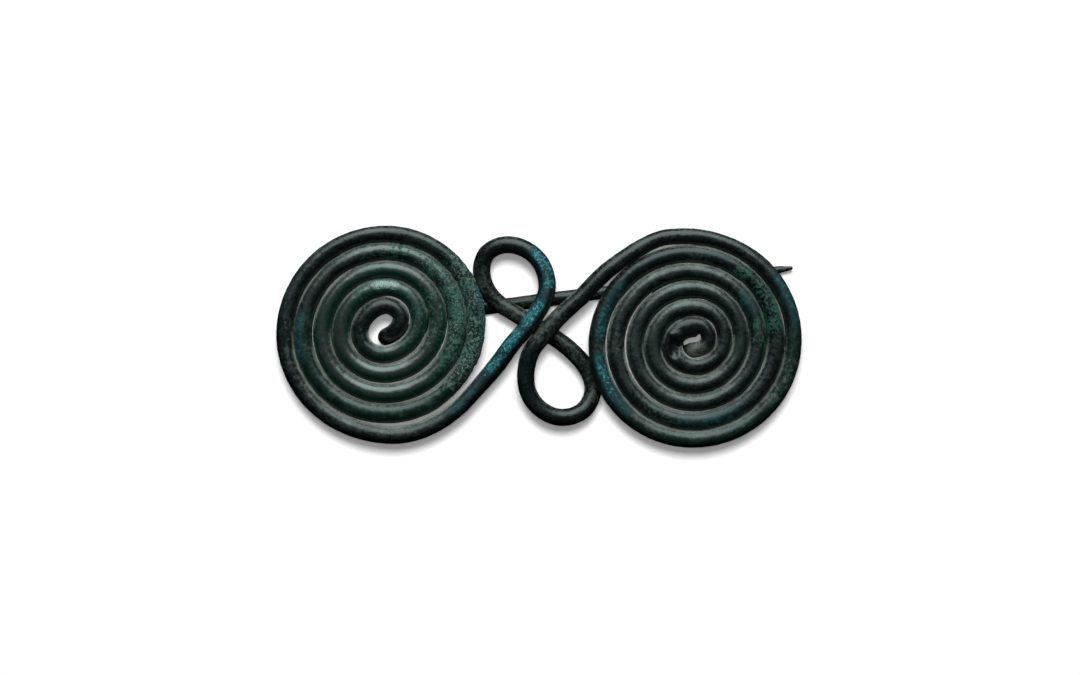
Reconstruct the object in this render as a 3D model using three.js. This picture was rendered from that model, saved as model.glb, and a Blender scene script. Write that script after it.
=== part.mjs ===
// Spectacle fibula: a dress pin bent from one length of bronze wire.
// Millimetres. +X runs along the brooch, +Y across it, +Z up towards its show side.
// It lies on its back: the two coiled discs and the figure of eight between them are on top,
// the pin runs behind them, and the catch and the root of the pin rest on the table at z = 0.
// The origin is under the middle of the brooch.

import * as THREE from 'three';

// Height of the wire's centreline in both discs, which leaves room for cloth over the pin.
const DISC_LEVEL = 10.5;

// Thickness of the free wire between the discs, as a radius.
const STRAND_RADIUS = 1.73;

// One turn of a disc is drawn with this many straight steps, and the wire with this many sides.
const STEPS_PER_TURN = 30;
const SIDES = 10;

// Pin: a straight taper from its root behind the left disc to a blunt tip past the right one.
const PIN_ROOT = { x: -19.2, y: 5.0 };
const PIN_TIP = { x: 51.0, y: 14.1 };
const PIN_ROOT_HEIGHT = 1.5;
const PIN_TIP_HEIGHT = 3.35;
const PIN_TAPER = [
  { along: 0, radius: 1.47 },
  { along: 0.33, radius: 1.42 },
  { along: 0.8, radius: 1.02 },
  { along: 0.965, radius: 0.78 },
  { along: 1, radius: 0.38 },
];
const PIN_STOPS = [1, 0.985, 0.965, 0.88, 0.8, 0.7, 0.6, 0.5, 0.4, 0.33, 0.22, 0.11, 0];

// A section is a superellipse: squareness 2 is round, and more is squarer.
const ROUND = 2;

// Catch: the wire's other end comes down behind the right disc, bends, and is hammered to a
// strip that lies flat and hooks up round the pin. Places along it are counted from the pin, and
// across it towards the pin's tip.
const CATCH_PLACE = 0.632;
const CATCH_LENGTH = 15.6;
const PLUNGE = [
  { along: -14.2, across: 2.6, z: 6.5, halfWidth: 1.45, halfThickness: 1.3 },
  { along: -14.95, across: 1.2, z: 4.2, halfWidth: 1.6, halfThickness: 1.15 },
];
const BEND_RADIUS = 2.2;
const BEND = [
  { angle: 30, halfWidth: 1.9, halfThickness: 1.0, squareness: 2.3 },
  { angle: 60, halfWidth: 2.1, halfThickness: 0.9, squareness: 2.7 },
];
const STRIP = { halfWidth: 2.5, halfThickness: 0.7, squareness: 4 };
const STRIP_STOPS = [-13, -10.5, -8, -5.5, -3, -1];
const HOOK = { startAngle: -75, endAngle: 55, stepAngle: 26, endThinning: 0.75 };

// The strip and the root of the pin are worn this much below their round, where they stand.
const REST_FLAT = 0.06;

// Each disc is a spiral from the eye outwards: its centre drifts with every turn, the spacing
// of its turns grows a little, and it is slightly oval, more so at the eye than at the rim.
// A slip is a short stretch that stands out from the even spiral, or in where rise is negative.
// wireRadii gives the radius of the wire at each whole turn.
const LEFT_DISC = {
  centre: { x: -31.19, y: 2.68 },
  drift: { x: 0.082, y: -0.205 },
  eyeRadius: 2.93,
  pitch: 3.79,
  pitchGrowth: 0.008,
  oval: { cos: -0.04, sin: 0.48 },
  ovalChange: { cos: 0.041, sin: -0.056 },
  wireRadii: [1.62, 1.7, 1.7, 1.7, 1.55, 1.6],
  slips: [
    { turn: 0.42, width: 0.2, rise: -0.3 },
    { turn: 4.785, width: 0.06, rise: 0.55 },
  ],
  firstTurn: 0.2,
  lastTurn: 4.9,
};
const RIGHT_DISC = {
  centre: { x: 30.8, y: -0.63 },
  drift: { x: -0.141, y: -0.053 },
  eyeRadius: 3.06,
  pitch: 3.18,
  pitchGrowth: 0.067,
  oval: { cos: -0.13, sin: 0.27 },
  ovalChange: { cos: 0.053, sin: -0.05 },
  wireRadii: [1.53, 1.5, 1.56, 1.62, 1.66, 1.56],
  slips: [
    { turn: 0.27, width: 0.15, rise: -0.85 },
    { turn: 0.72, width: 0.13, rise: -0.6 },
    { turn: 1.25, width: 0.15, rise: -0.4 },
    { turn: 5.2, width: 0.1, rise: -0.3 },
  ],
  firstTurn: 0.1,
  lastTurn: 5.3,
};

// Figure of eight, from the left disc's rim to the right one's. Each row is x, y and the height
// above or below the discs. The first strand rises over the crossing and turns back through the
// upper loop, the middle strand dips under both others, and the last one rises over it again.
const FIRST_STRAND = [
  [-8.3, -5.1, 0.3],
  [-5.72, -1.52, 0.8],
  [-2.77, 1.85, 1.15],
  [-0.53, 5.08, 1.15],
  [1.1, 8.1, 1.0],
];
const UPPER_LOOP = [
  [1.45, 11.2, 0.7],
  [0.35, 14.7, 0.3],
  [-1.9, 17.1, -0.1],
  [-5.0, 18.5, -0.5],
  [-8.2, 18.4, -1.0],
  [-10.8, 16.7, -1.4],
  [-11.7, 13.6, -1.9],
  [-10.8, 9.9, -2.3],
  [-8.5, 7.1, -2.45],
];
const MIDDLE_STRAND = [
  [-5.5, 5.2, -2.4],
  [-1.3, 2.6, -2.4],
  [3.1, -0.1, -2.4],
  [6.9, -3.1, -2.55],
];
const LOWER_LOOP = [
  [9.8, -6.8, -2.85],
  [10.7, -10.4, -2.75],
  [9.3, -14.0, -2.0],
  [6.5, -15.7, -1.2],
  [3.1, -15.8, -0.7],
  [-0.2, -14.0, -0.2],
  [-2.3, -11.0, 0.2],
  [-2.8, -7.0, 0.6],
];
const LAST_STRAND = [
  [-1.67, -2.64, 1.0],
  [0.93, 0.66, 1.15],
  [3.5, 3.8, 1.15],
  [8.25, 8.15, 1.0],
  [13.75, 13.6, 0.8],
];
const EIGHT_STEPS = 3;

// Inner ends of the spirals: each curls in, then plunges behind its disc. Each row is x, y and
// the height below the disc.
const LEFT_EYE = [
  [-27.75, 4.5, 0],
  [-28.2, 2.3, 0],
  [-29.4, 1.0, -0.5],
  [-30.7, 0.4, -2.0],
  [-31.0, 0.1, -4.3],
  [-30.4, -0.1, -7.0],
  [-28.2, 0.1, -8.8],
  [-24.6, 2.0, -9.0],
];
const LEFT_EYE_RADIUS = 1.6;
const RIGHT_EYE = [
  [33.8, -0.2, 0],
  [33.4, -1.4, 0],
  [32.5, -2.15, -0.1],
  [31.4, -2.4, -0.7],
  [30.5, -2.55, -2.0],
];
const RIGHT_EYE_RADIUS = 1.4;

// Straight steps to the next knot along each eye.
const LEFT_EYE_STEPS = 3;
const RIGHT_EYE_STEPS = 2;

// A blunt end is closed by a dome this high, as a share of its smaller half width.
const END_DOME = 0.5;

/** A place on the wire: its centre, half its width and thickness, and how square it is. */
function knot(x, y, z, halfWidth, halfThickness = halfWidth, squareness = ROUND) {
  return { point: new THREE.Vector3(x, y, z), section: [halfWidth, halfThickness, squareness] };
}

/** Straight-line value at a place between the entries of a list, counted from 0. */
function between(values, place) {
  const first = Math.min(Math.floor(place), values.length - 2);
  return THREE.MathUtils.lerp(values[first], values[first + 1], place - first);
}

/** Point of a disc's spiral a number of turns out from the eye, counted from +X. */
function spiralPoint(disc, turn) {
  const angle = turn * 2 * Math.PI;
  const ovalCos = disc.oval.cos + disc.ovalChange.cos * turn;
  const ovalSin = disc.oval.sin + disc.ovalChange.sin * turn;
  const oval = ovalCos * Math.cos(2 * angle) + ovalSin * Math.sin(2 * angle);
  const round = disc.eyeRadius + disc.pitch * turn + disc.pitchGrowth * turn ** 2;
  let radius = round + oval;
  for (const slip of disc.slips) {
    radius += slip.rise * Math.exp(-(((turn - slip.turn) / slip.width) ** 2));
  }
  const x = disc.centre.x + disc.drift.x * turn + radius * Math.cos(angle);
  const y = disc.centre.y + disc.drift.y * turn + radius * Math.sin(angle);
  return { x, y };
}

/** Knots of one disc, from the eye outwards. */
function discKnots(disc) {
  const first = Math.round(disc.firstTurn * STEPS_PER_TURN);
  const last = Math.round(disc.lastTurn * STEPS_PER_TURN);
  const knots = [];
  for (let step = first; step <= last; step += 1) {
    const turn = step / STEPS_PER_TURN;
    const { x, y } = spiralPoint(disc, turn);
    knots.push(knot(x, y, DISC_LEVEL, between(disc.wireRadii, turn)));
  }
  return knots;
}

/** Knots through rows of x, y and height from the discs, of one wire radius. */
function rowKnots(rows, radius) {
  return rows.map(([x, y, lift]) => knot(x, y, DISC_LEVEL + lift, radius));
}

/** Point and radius of the pin at a part of its length, from its root at 0 to its tip at 1. */
function pinAt(along) {
  const x = THREE.MathUtils.lerp(PIN_ROOT.x, PIN_TIP.x, along);
  const y = THREE.MathUtils.lerp(PIN_ROOT.y, PIN_TIP.y, along);
  const z = THREE.MathUtils.lerp(PIN_ROOT_HEIGHT, PIN_TIP_HEIGHT, along);
  const next = PIN_TAPER.findIndex((mark) => mark.along >= along && mark.along > 0);
  const from = PIN_TAPER[next - 1];
  const to = PIN_TAPER[next];
  const share = (along - from.along) / (to.along - from.along);
  return { x, y, z, radius: THREE.MathUtils.lerp(from.radius, to.radius, share) };
}

/** Knots of the pin, from its tip back to its root. */
function pinKnots() {
  return PIN_STOPS.map((along) => {
    const { x, y, z, radius } = pinAt(along);
    return knot(x, y, z, radius);
  });
}

/** Knots of the catch: down behind the right disc, flat along the table, round the pin. */
function catchKnots() {
  const pin = pinAt(CATCH_PLACE);
  const pinWay = new THREE.Vector2(PIN_TIP.x - PIN_ROOT.x, PIN_TIP.y - PIN_ROOT.y).normalize();
  const place = (along, z, section, thinning = 1) => {
    const { halfWidth, halfThickness, squareness = ROUND, across = 0 } = section;
    return knot(
      pin.x - pinWay.y * along + pinWay.x * across,
      pin.y + pinWay.x * along + pinWay.y * across,
      z,
      halfWidth * thinning,
      halfThickness * thinning,
      squareness,
    );
  };
  const stripLevel = STRIP.halfThickness - REST_FLAT;
  const hookRadius = pin.z - stripLevel;
  const knots = PLUNGE.map((section) => place(section.along, section.z, section));
  for (const section of BEND) {
    const turn = THREE.MathUtils.degToRad(section.angle);
    const along = -CATCH_LENGTH + BEND_RADIUS * (1 - Math.cos(turn));
    knots.push(place(along, stripLevel + BEND_RADIUS * (1 - Math.sin(turn)), section));
  }
  for (const along of STRIP_STOPS) {
    knots.push(place(along, stripLevel, STRIP));
  }
  for (let angle = HOOK.startAngle; angle <= HOOK.endAngle; angle += HOOK.stepAngle) {
    const turn = THREE.MathUtils.degToRad(angle);
    const along = hookRadius * Math.cos(turn);
    const z = pin.z + hookRadius * Math.sin(turn);
    const share = (angle - HOOK.startAngle) / (HOOK.endAngle - HOOK.startAngle);
    knots.push(place(along, z, STRIP, THREE.MathUtils.lerp(1, HOOK.endThinning, share)));
  }
  return knots;
}

/** Every knot of the wire in order, each with the number of steps to the next. */
function wireKnots() {
  const eight = [...FIRST_STRAND, ...UPPER_LOOP, ...MIDDLE_STRAND, ...LOWER_LOOP, ...LAST_STRAND];
  const runs = [
    { knots: pinKnots(), steps: 1 },
    { knots: rowKnots(LEFT_EYE, LEFT_EYE_RADIUS).reverse(), steps: LEFT_EYE_STEPS },
    { knots: discKnots(LEFT_DISC), steps: 1 },
    { knots: rowKnots(eight, STRAND_RADIUS), steps: EIGHT_STEPS },
    { knots: discKnots(RIGHT_DISC).reverse(), steps: 1 },
    { knots: rowKnots(RIGHT_EYE, RIGHT_EYE_RADIUS), steps: RIGHT_EYE_STEPS },
    { knots: catchKnots(), steps: 1 },
  ];
  return runs.flatMap((run) => run.knots.map((each) => ({ ...each, steps: run.steps })));
}

/** Places along the wire where its rings stand, on one smooth curve through the knots. */
function wireStations(knots) {
  const curve = new THREE.CatmullRomCurve3(knots.map((each) => each.point), false, 'centripetal');
  const stations = [];
  knots.forEach((each, index) => {
    const next = knots[index + 1];
    const steps = next ? each.steps : 1;
    for (let step = 0; step < steps; step += 1) {
      const share = step / steps;
      const place = (index + share) / (knots.length - 1);
      const section = each.section.map((value, part) => (
        next ? THREE.MathUtils.lerp(value, next.section[part], share) : value
      ));
      stations.push({
        centre: curve.getPoint(place),
        tangent: curve.getTangent(place),
        section,
      });
    }
  });
  return stations;
}

/** Gives each station its sideways direction, carried along from the catch without twist. */
function carrySideways(stations) {
  const side = new THREE.Vector3(PIN_TIP.x - PIN_ROOT.x, PIN_TIP.y - PIN_ROOT.y, 0).normalize();
  for (let index = stations.length - 1; index >= 0; index -= 1) {
    const { tangent } = stations[index];
    side.addScaledVector(tangent, -side.dot(tangent)).normalize();
    stations[index].side = side.clone();
  }
}

/** Ring of points round a station: an ellipse, or a squarer form for the hammered strip. */
function ringPoints(station) {
  const [halfWidth, halfThickness, squareness] = station.section;
  const up = new THREE.Vector3().crossVectors(station.tangent, station.side);
  const power = 2 / squareness;
  const points = [];
  for (let index = 0; index < SIDES; index += 1) {
    const angle = ((index + 0.5) / SIDES) * 2 * Math.PI + Math.PI / 2;
    const across = Math.sign(Math.cos(angle)) * Math.abs(Math.cos(angle)) ** power;
    const above = Math.sign(Math.sin(angle)) * Math.abs(Math.sin(angle)) ** power;
    const point = station.centre.clone();
    point.addScaledVector(station.side, across * halfWidth);
    point.addScaledVector(up, above * halfThickness);
    point.z = Math.max(point.z, 0);
    points.push(point);
  }
  return points;
}

/** The closed skin of the wire: rings joined in order, with a low dome on each end. */
function wireGeometry() {
  const stations = wireStations(wireKnots());
  carrySideways(stations);
  const rings = stations.map((station) => ringPoints(station));
  const positions = rings.flat().flatMap((point) => point.toArray());
  const indices = [];
  for (let ring = 0; ring < rings.length - 1; ring += 1) {
    for (let side = 0; side < SIDES; side += 1) {
      const here = ring * SIDES + side;
      const beside = ring * SIDES + ((side + 1) % SIDES);
      indices.push(here, beside, beside + SIDES);
      indices.push(here, beside + SIDES, here + SIDES);
    }
  }
  const ends = [
    { station: stations[0], ring: 0, way: -1 },
    { station: stations[stations.length - 1], ring: rings.length - 1, way: 1 },
  ];
  for (const { station, ring, way } of ends) {
    const reach = way * Math.min(station.section[0], station.section[1]) * END_DOME;
    const peak = station.centre.clone().addScaledVector(station.tangent, reach);
    const peakIndex = positions.length / 3;
    positions.push(...peak.toArray());
    for (let side = 0; side < SIDES; side += 1) {
      const here = ring * SIDES + side;
      const beside = ring * SIDES + ((side + 1) % SIDES);
      indices.push(...(way > 0 ? [here, beside, peakIndex] : [beside, here, peakIndex]));
    }
  }
  const geometry = new THREE.BufferGeometry();
  geometry.setAttribute('position', new THREE.Float32BufferAttribute(positions, 3));
  geometry.setIndex(indices);
  geometry.computeVertexNormals();
  return geometry;
}

const patinatedBronze = new THREE.MeshStandardMaterial({
  color: 0x1f2b26,
  roughness: 0.45,
  metalness: 0.35,
});

const wire = new THREE.Mesh(wireGeometry(), patinatedBronze);
wire.name = 'fibula_wire';

const group = new THREE.Group();
group.add(wire);

export default group;
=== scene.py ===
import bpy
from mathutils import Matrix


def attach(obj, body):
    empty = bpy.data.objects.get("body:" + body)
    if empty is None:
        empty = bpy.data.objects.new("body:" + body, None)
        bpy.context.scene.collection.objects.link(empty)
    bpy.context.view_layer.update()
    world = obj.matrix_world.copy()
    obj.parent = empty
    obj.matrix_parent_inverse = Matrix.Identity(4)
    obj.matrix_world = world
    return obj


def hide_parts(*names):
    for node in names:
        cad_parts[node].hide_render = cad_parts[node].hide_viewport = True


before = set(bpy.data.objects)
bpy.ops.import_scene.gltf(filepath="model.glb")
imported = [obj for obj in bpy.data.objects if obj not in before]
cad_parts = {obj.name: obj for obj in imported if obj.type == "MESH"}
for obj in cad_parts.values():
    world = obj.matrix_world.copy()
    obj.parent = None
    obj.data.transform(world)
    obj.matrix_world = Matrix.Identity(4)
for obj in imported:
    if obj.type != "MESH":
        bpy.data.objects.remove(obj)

"""Spectacle fibula: a cloak pin bent from one length of bronze wire, lying on its back.

The wire runs from the tip of the pin to its root, curls up through the eye of the left disc, coils
outwards, crosses itself in a figure of eight, coils inwards through the right disc and ends behind
it as the catch. Lengths are millimetres in this file and become metres where a mesh is made.
"""

import logging
import math
from dataclasses import dataclass, field
from enum import Enum, IntEnum
from functools import reduce
from typing import ClassVar

import bpy
import numpy as np

LOG = logging.getLogger("fibula")
METRES_PER_MM = 0.001
CAD_NODE = "fibula_wire"
BODY = "root"
SLOT = "patinated_bronze"
WIRE_PLACE = "wire_place"
TURN = 2 * math.pi
ROUND = 2.0
DISC_LEVEL = 10.5
UP = (0.0, 0.0, 1.0)
LIT_SIDE = (0.0, 0.8, 1.0)
BELL_REACH = 3

LATTICE_FACTORS = (73856093, 19349663, 83492791)
SEED_FACTOR = 2654435761
MIXING_STEPS = ((15, 2246822519), (13, 3266489917))
LAST_SHIFT = 16
LOW_32_BITS = 0xFFFFFFFF
LOW_16_BITS = 0xFFFF

MIX_UNDER_SOCKET = 6
MIX_OVER_SOCKET = 7
MIX_COLOUR_SOCKET = 2

Pair = tuple[float, float]
Direction = tuple[float, float, float]


class Tone(Enum):
    """Kinds of patina, some of them partly painted light, each the name of the mesh attribute that
    says where it lies.
    """

    TURQUOISE = "turquoise"
    GREEN = "green"
    CRUST = "crust"
    # Worn metal, laid on the side of the turns towards the top softbox: partly real wear, partly a
    # painted highlight.
    SHEEN = "sheen"
    BOTTLE = "bottle"
    # Soil and clay lie mostly on the sides facing the top softbox: real dirt, and painted light on the
    # lit edges.
    SOIL = "soil"
    CLAY = "clay"
    # Pale specks, and one painted highlight spot on the left disc.
    SPECK = "speck"


# Density plus noise at which each tone begins to show, and at which it covers fully.
COVER_STEPS = {
    Tone.BOTTLE: (0.6, 1.4),
    Tone.SHEEN: (0.35, 1.2),
    Tone.SOIL: (0.5, 1.15),
    Tone.CLAY: (0.6, 1.1),
    Tone.GREEN: (1.0, 1.5),
    Tone.CRUST: (1.0, 1.6),
    Tone.TURQUOISE: (1.1, 1.6),
    Tone.SPECK: (0.84, 0.94),
}


class Seed(IntEnum):
    """Numbers that pick the random fields. A layered field takes the next number too."""

    HAMMER = 3
    SKIN = 5
    LUMPS = 8
    PITS = 12
    PATCHES = 21
    SPECKS = 33
    WEATHER = 41


class Lights(Enum):
    """What a lamp shines on."""

    BROOCH = "brooch"
    FLOOR = "floor"


def to_metres(points: np.ndarray) -> np.ndarray:
    """Returns millimetre points in metres."""
    return points * METRES_PER_MM


def unit(vectors: np.ndarray) -> np.ndarray:
    """Returns each row of an array of vectors at length 1."""
    return vectors / np.linalg.norm(vectors, axis=-1, keepdims=True)


def smooth(share: np.ndarray) -> np.ndarray:
    """Returns three squares less two cubes of a share from 0 to 1."""
    return share * share * (3.0 - 2.0 * share)


def raised(share: np.ndarray, least: float) -> np.ndarray:
    """Returns a share from 0 to 1 squeezed into the range from least to 1."""
    return least + (1.0 - least) * share


def ease(values: np.ndarray, low: float, high: float) -> np.ndarray:
    """Soft step: 0 below low, 1 above high, and a smooth share between.

    Args:
        values: Numbers of any shape.
        low: Where the step starts.
        high: Where it is done.

    Returns:
        Numbers from 0 to 1, of the same shape.
    """
    return smooth(np.clip((values - low) / (high - low), 0.0, 1.0))


def blur(values: np.ndarray, width: float) -> np.ndarray:
    """Evens out numbers that run along the wire, by a bell curve over their neighbours.

    Args:
        values: Array whose first axis runs along the wire.
        width: Standard width of the bell, in steps of that axis.

    Returns:
        The evened array. Both ends are continued straight, so that they keep their place.
    """
    reach = int(math.ceil(BELL_REACH * width))
    offsets = np.arange(-reach, reach + 1)
    bell = np.exp(-0.5 * (offsets / width) ** 2)
    bell /= bell.sum()
    before = 2 * values[:1] - values[reach:0:-1]
    after = 2 * values[-1:] - values[-2 : -reach - 2 : -1]
    padded = np.concatenate([before, values, after])
    columns = padded.reshape(len(padded), -1).T
    evened = np.stack([np.convolve(column, bell, mode="valid") for column in columns], axis=1)
    return evened.reshape(values.shape)


def columns_at(wanted: np.ndarray, known: np.ndarray, values: np.ndarray) -> np.ndarray:
    """Reads the columns of an array between its rows, along straight lines.

    Args:
        wanted: Where to read them.
        known: Where each row stands, in rising order.
        values: Rows of numbers.

    Returns:
        A row for each wanted place.
    """
    return np.stack([np.interp(wanted, known, column) for column in values.T], axis=1)


def grain(points: np.ndarray, cell: float, seed: int) -> np.ndarray:
    """Smooth random field: a hashed number at each corner of a cubic lattice, eased between.

    Args:
        points: Places, of shape (..., 3), in mm.
        cell: Edge of a lattice cell, in mm.
        seed: Whole number that picks one field out of many.

    Returns:
        Numbers from -1 to 1, of the places' shape without its last axis.
    """
    scaled = points / cell
    corner = np.floor(scaled).astype(np.int64)
    share = smooth(scaled - corner)
    total = np.zeros(points.shape[:-1])
    for step in np.ndindex(2, 2, 2):
        node = corner + np.array(step)
        mixed = np.bitwise_xor.reduce(node * LATTICE_FACTORS, axis=-1)
        mixed = (mixed ^ seed * SEED_FACTOR) & LOW_32_BITS
        for shift, factor in MIXING_STEPS:
            mixed = ((mixed >> shift) ^ mixed) * factor & LOW_32_BITS
        value = (((mixed >> LAST_SHIFT) ^ mixed) & LOW_16_BITS) / (0.5 * LOW_16_BITS) - 1.0
        weight = np.prod(np.where(np.array(step) == 1, share, 1.0 - share), axis=-1)
        total += weight * value
    return total


def layered(points: np.ndarray, cell: float, seed: int) -> np.ndarray:
    """Returns a random field with another of half its size and weight on top."""
    return grain(points, cell, seed) + 0.5 * grain(points, 0.5 * cell, seed + 1)


@dataclass
class Stretch:
    """Knots of one stretch of the wire, in order from the pin's tip to the end of the catch.

    Attributes:
        name: What the stretch is.
        points: Centre of the wire at each knot, of shape (count, 3), in mm.
        sections: Half width, half thickness and squareness at each knot.
        places: Number that stains are placed by: the turn on a disc, a share from 0 to 1 elsewhere.
    """

    name: str
    points: np.ndarray
    sections: np.ndarray
    places: np.ndarray

    @classmethod
    def of_round_wire(cls, name: str, points: np.ndarray, radii: np.ndarray) -> "Stretch":
        """Makes a stretch of round section.

        Args:
            name: What the stretch is.
            points: Centres of its knots.
            radii: Radius at each of them.

        Returns:
            The stretch, with places from 0 to 1.
        """
        sections = np.stack([radii, radii, np.full(len(radii), ROUND)], axis=1)
        return cls(name, points, sections, np.linspace(0.0, 1.0, len(points)))

    def turned_round(self) -> "Stretch":
        """Returns the same stretch with its knots in the other order."""
        return Stretch(self.name, self.points[::-1], self.sections[::-1], self.places[::-1])


@dataclass(frozen=True)
class Stain:
    """A patch of one patina tone on a stretch of the wire.

    Attributes:
        tone: Which patina it is.
        stretch: Name of the stretch that it lies on.
        start: Place where it begins to fade in.
        end: Place where it has faded out.
        strength: How dense it is at its middle.
        lean: Direction that the stained side faces. Zero stains all round.
        hump_full: Height of the sine along the stain at which it is at its densest.
        lean_step: Agreement with the lean at which the stain begins to show, and is whole.
    """

    tone: Tone
    stretch: str
    start: float
    end: float
    strength: float
    lean: Direction = (0.0, 0.0, 0.0)
    hump_full: ClassVar[float] = 0.75
    lean_step: ClassVar[Pair] = (0.5, 0.98)

    def cover(self, places: np.ndarray, normals: np.ndarray) -> np.ndarray:
        """Density of the stain: an eased hump along its length times the share that faces its lean.

        Args:
            places: Place of each ring of the stretch.
            normals: Outward directions, of shape (rings, sides, 3).

        Returns:
            Densities of shape (rings, sides).
        """
        share = np.clip((places - self.start) / (self.end - self.start), 0.0, 1.0)
        hump = ease(np.sin(share * math.pi), 0.0, self.hump_full)
        facing = 1.0
        if any(self.lean):
            facing = ease(normals @ unit(np.array(self.lean)), *self.lean_step)
        return self.strength * hump[:, None] * facing


def stains(tone: Tone, stretch: str, *rows: tuple) -> tuple[Stain, ...]:
    """Returns stains of one tone on one stretch, from rows of start, end, strength and any lean."""
    return tuple(Stain(tone, stretch, *row) for row in rows)


@dataclass(frozen=True)
class Pin:
    """The pin: a straight taper from its root behind the left disc to a blunt tip."""

    root: tuple[float, float, float] = (-19.2, 5.0, 1.5)
    tip: tuple[float, float, float] = (51.0, 14.1, 3.35)
    taper_at: tuple[float, ...] = (0.0, 0.33, 0.8, 0.965, 1.0)
    taper_radii: tuple[float, ...] = (1.47, 1.42, 1.02, 0.78, 0.38)
    knot_stops: tuple[float, ...] = (
        1.0, 0.985, 0.965, 0.88, 0.8, 0.7, 0.6, 0.5, 0.4, 0.33, 0.22, 0.11, 0.0,
    )

    def centre(self, share: np.ndarray) -> np.ndarray:
        """Returns points on the straight line from the root, at share 0, to the tip, at share 1."""
        root, tip = np.array(self.root), np.array(self.tip)
        return root + np.asarray(share)[..., None] * (tip - root)

    def way(self) -> np.ndarray:
        """Returns the level direction from the root to the tip."""
        run = np.array(self.tip) - np.array(self.root)
        return unit(run * (1.0, 1.0, 0.0))

    def stretch(self) -> Stretch:
        """Returns the pin's knots, from its tip to its root."""
        stops = np.array(self.knot_stops)
        radii = np.interp(stops, self.taper_at, self.taper_radii)
        return Stretch.of_round_wire("pin", self.centre(stops), radii)


@dataclass(frozen=True)
class Slip:
    """A short stretch where a spiral stands out from its even run, or in where rise is negative."""

    turn: float
    width: float
    rise: float


@dataclass(frozen=True)
class Gap:
    """An open slit between a turn and the next one out, from one turn to another on the inner."""

    start: float
    end: float
    width: float


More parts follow.
